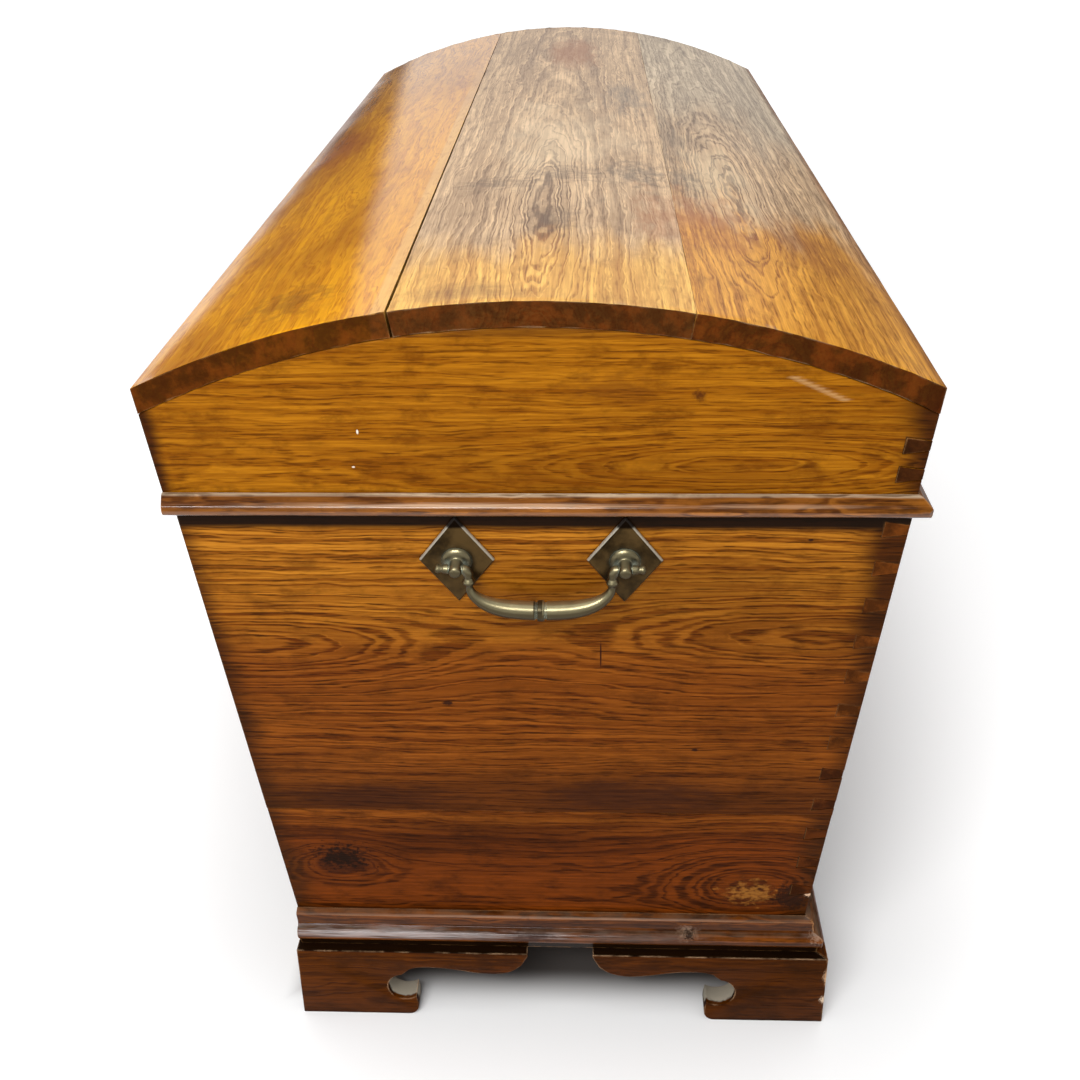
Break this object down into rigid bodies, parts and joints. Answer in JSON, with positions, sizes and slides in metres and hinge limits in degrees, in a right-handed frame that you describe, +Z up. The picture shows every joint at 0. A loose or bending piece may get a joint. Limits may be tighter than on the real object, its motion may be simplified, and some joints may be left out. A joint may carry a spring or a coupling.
{
  "type": "dome top chest",
  "caption": "Tapered oak storage chest with a hinged coved lid, moulded lid edge and plinth, bracket feet, brass bail handles on both ends, strap hinges and a front lock.",
  "frame": {"origin": "middle of the chest's outline on the surface that its feet stand on", "axes": "+X along the length, to the right for someone facing the front; +Y from the front to the back; +Z up"},
  "size_m": [1.3618, 0.6224, 0.7722],
  "materials": {
    "oak_golden": "waxed golden oak, semi-gloss",
    "oak_weathered": "oak with worn, weathered varnish",
    "oak_brown": "brown varnished oak, satin",
    "oak_moulding": "reddish brown polished oak",
    "oak_unfinished": "bare, aged oak",
    "brass_aged": "cast brass with an olive patina, rubbed bright on its edges",
    "iron_wrought": "black wrought iron, dull"
  },
  "bodies": {
    "case": {"front_board_upper": "oak_brown", "front_board_lower": "oak_brown", "back_board_upper": "oak_brown", "back_board_lower": "oak_brown", "end_left_upper": "oak_brown", "end_left_lower": "oak_brown", "end_right_upper": "oak_brown", "end_right_lower": "oak_brown", "bottom_board_front": "oak_unfinished", "bottom_board_back": "oak_unfinished", "plinth_front": "oak_moulding", "plinth_left": "oak_moulding", "plinth_right": "oak_moulding", "foot_front_left_face": "oak_moulding", "foot_front_left_side": "oak_moulding", "foot_front_right_face": "oak_moulding", "foot_front_right_side": "oak_moulding", "foot_back_left_side": "oak_moulding", "foot_back_right_side": "oak_moulding", "foot_back_left_plain": "oak_unfinished", "foot_back_right_plain": "oak_unfinished", "corner_block_front_left": "oak_unfinished", "corner_block_front_right": "oak_unfinished", "corner_block_back_left": "oak_unfinished", "corner_block_back_right": "oak_unfinished", "handle_left_plate_front": "brass_aged", "handle_left_plate_back": "brass_aged", "handle_right_plate_front": "brass_aged", "handle_right_plate_back": "brass_aged", "handle_left_post_front": "brass_aged", "handle_left_post_back": "brass_aged", "handle_right_post_front": "brass_aged", "handle_right_post_back": "brass_aged", "handle_left_nut_front": "iron_wrought", "handle_left_nut_back": "iron_wrought", "handle_right_nut_front": "iron_wrought", "handle_right_nut_back": "iron_wrought", "hinge_left_body_strap": "iron_wrought", "hinge_right_body_strap": "iron_wrought", "hinge_left_pin": "iron_wrought", "hinge_right_pin": "iron_wrought", "lock_case": "iron_wrought", "escutcheon": "brass_aged"},
    "lid": {"dome_board_front": "oak_golden", "dome_board_middle": "oak_weathered", "dome_board_back": "oak_golden", "lid_end_left": "oak_golden", "lid_end_right": "oak_golden", "lid_rail_front": "oak_golden", "lid_rail_back": "oak_golden", "lid_moulding_front": "oak_moulding", "lid_moulding_left": "oak_moulding", "lid_moulding_right": "oak_moulding", "hinge_left_lid_strap": "iron_wrought", "hinge_right_lid_strap": "iron_wrought", "lock_catch": "iron_wrought"},
    "bail_left": {"bail_left": "brass_aged"},
    "bail_right": {"bail_right": "brass_aged"},
    "lock_bolt": {"lock_bolt": "iron_wrought"}
  },
  "joints": [
    {"name": "lid_hinge", "type": "hinge", "parent": "case", "child": "lid", "pos_m": [0, 0.30571, 0.5923], "axis": [-1, 0, 0], "range_deg": [0, 100]},
    {"name": "bail_left_swing", "type": "hinge", "parent": "case", "child": "bail_left", "pos_m": [-0.67235, -0.00235, 0.5413], "axis": [0, 1, 0], "range_deg": [-13, 150]},
    {"name": "bail_right_swing", "type": "hinge", "parent": "case", "child": "bail_right", "pos_m": [0.67235, -0.00235, 0.5413], "axis": [0, -1, 0], "range_deg": [-13, 150]},
    {"name": "lock_bolt_slide", "type": "slide", "parent": "case", "child": "lock_bolt", "axis": [-1, 0, 0], "range_m": [0, 0.013]}
  ]
}
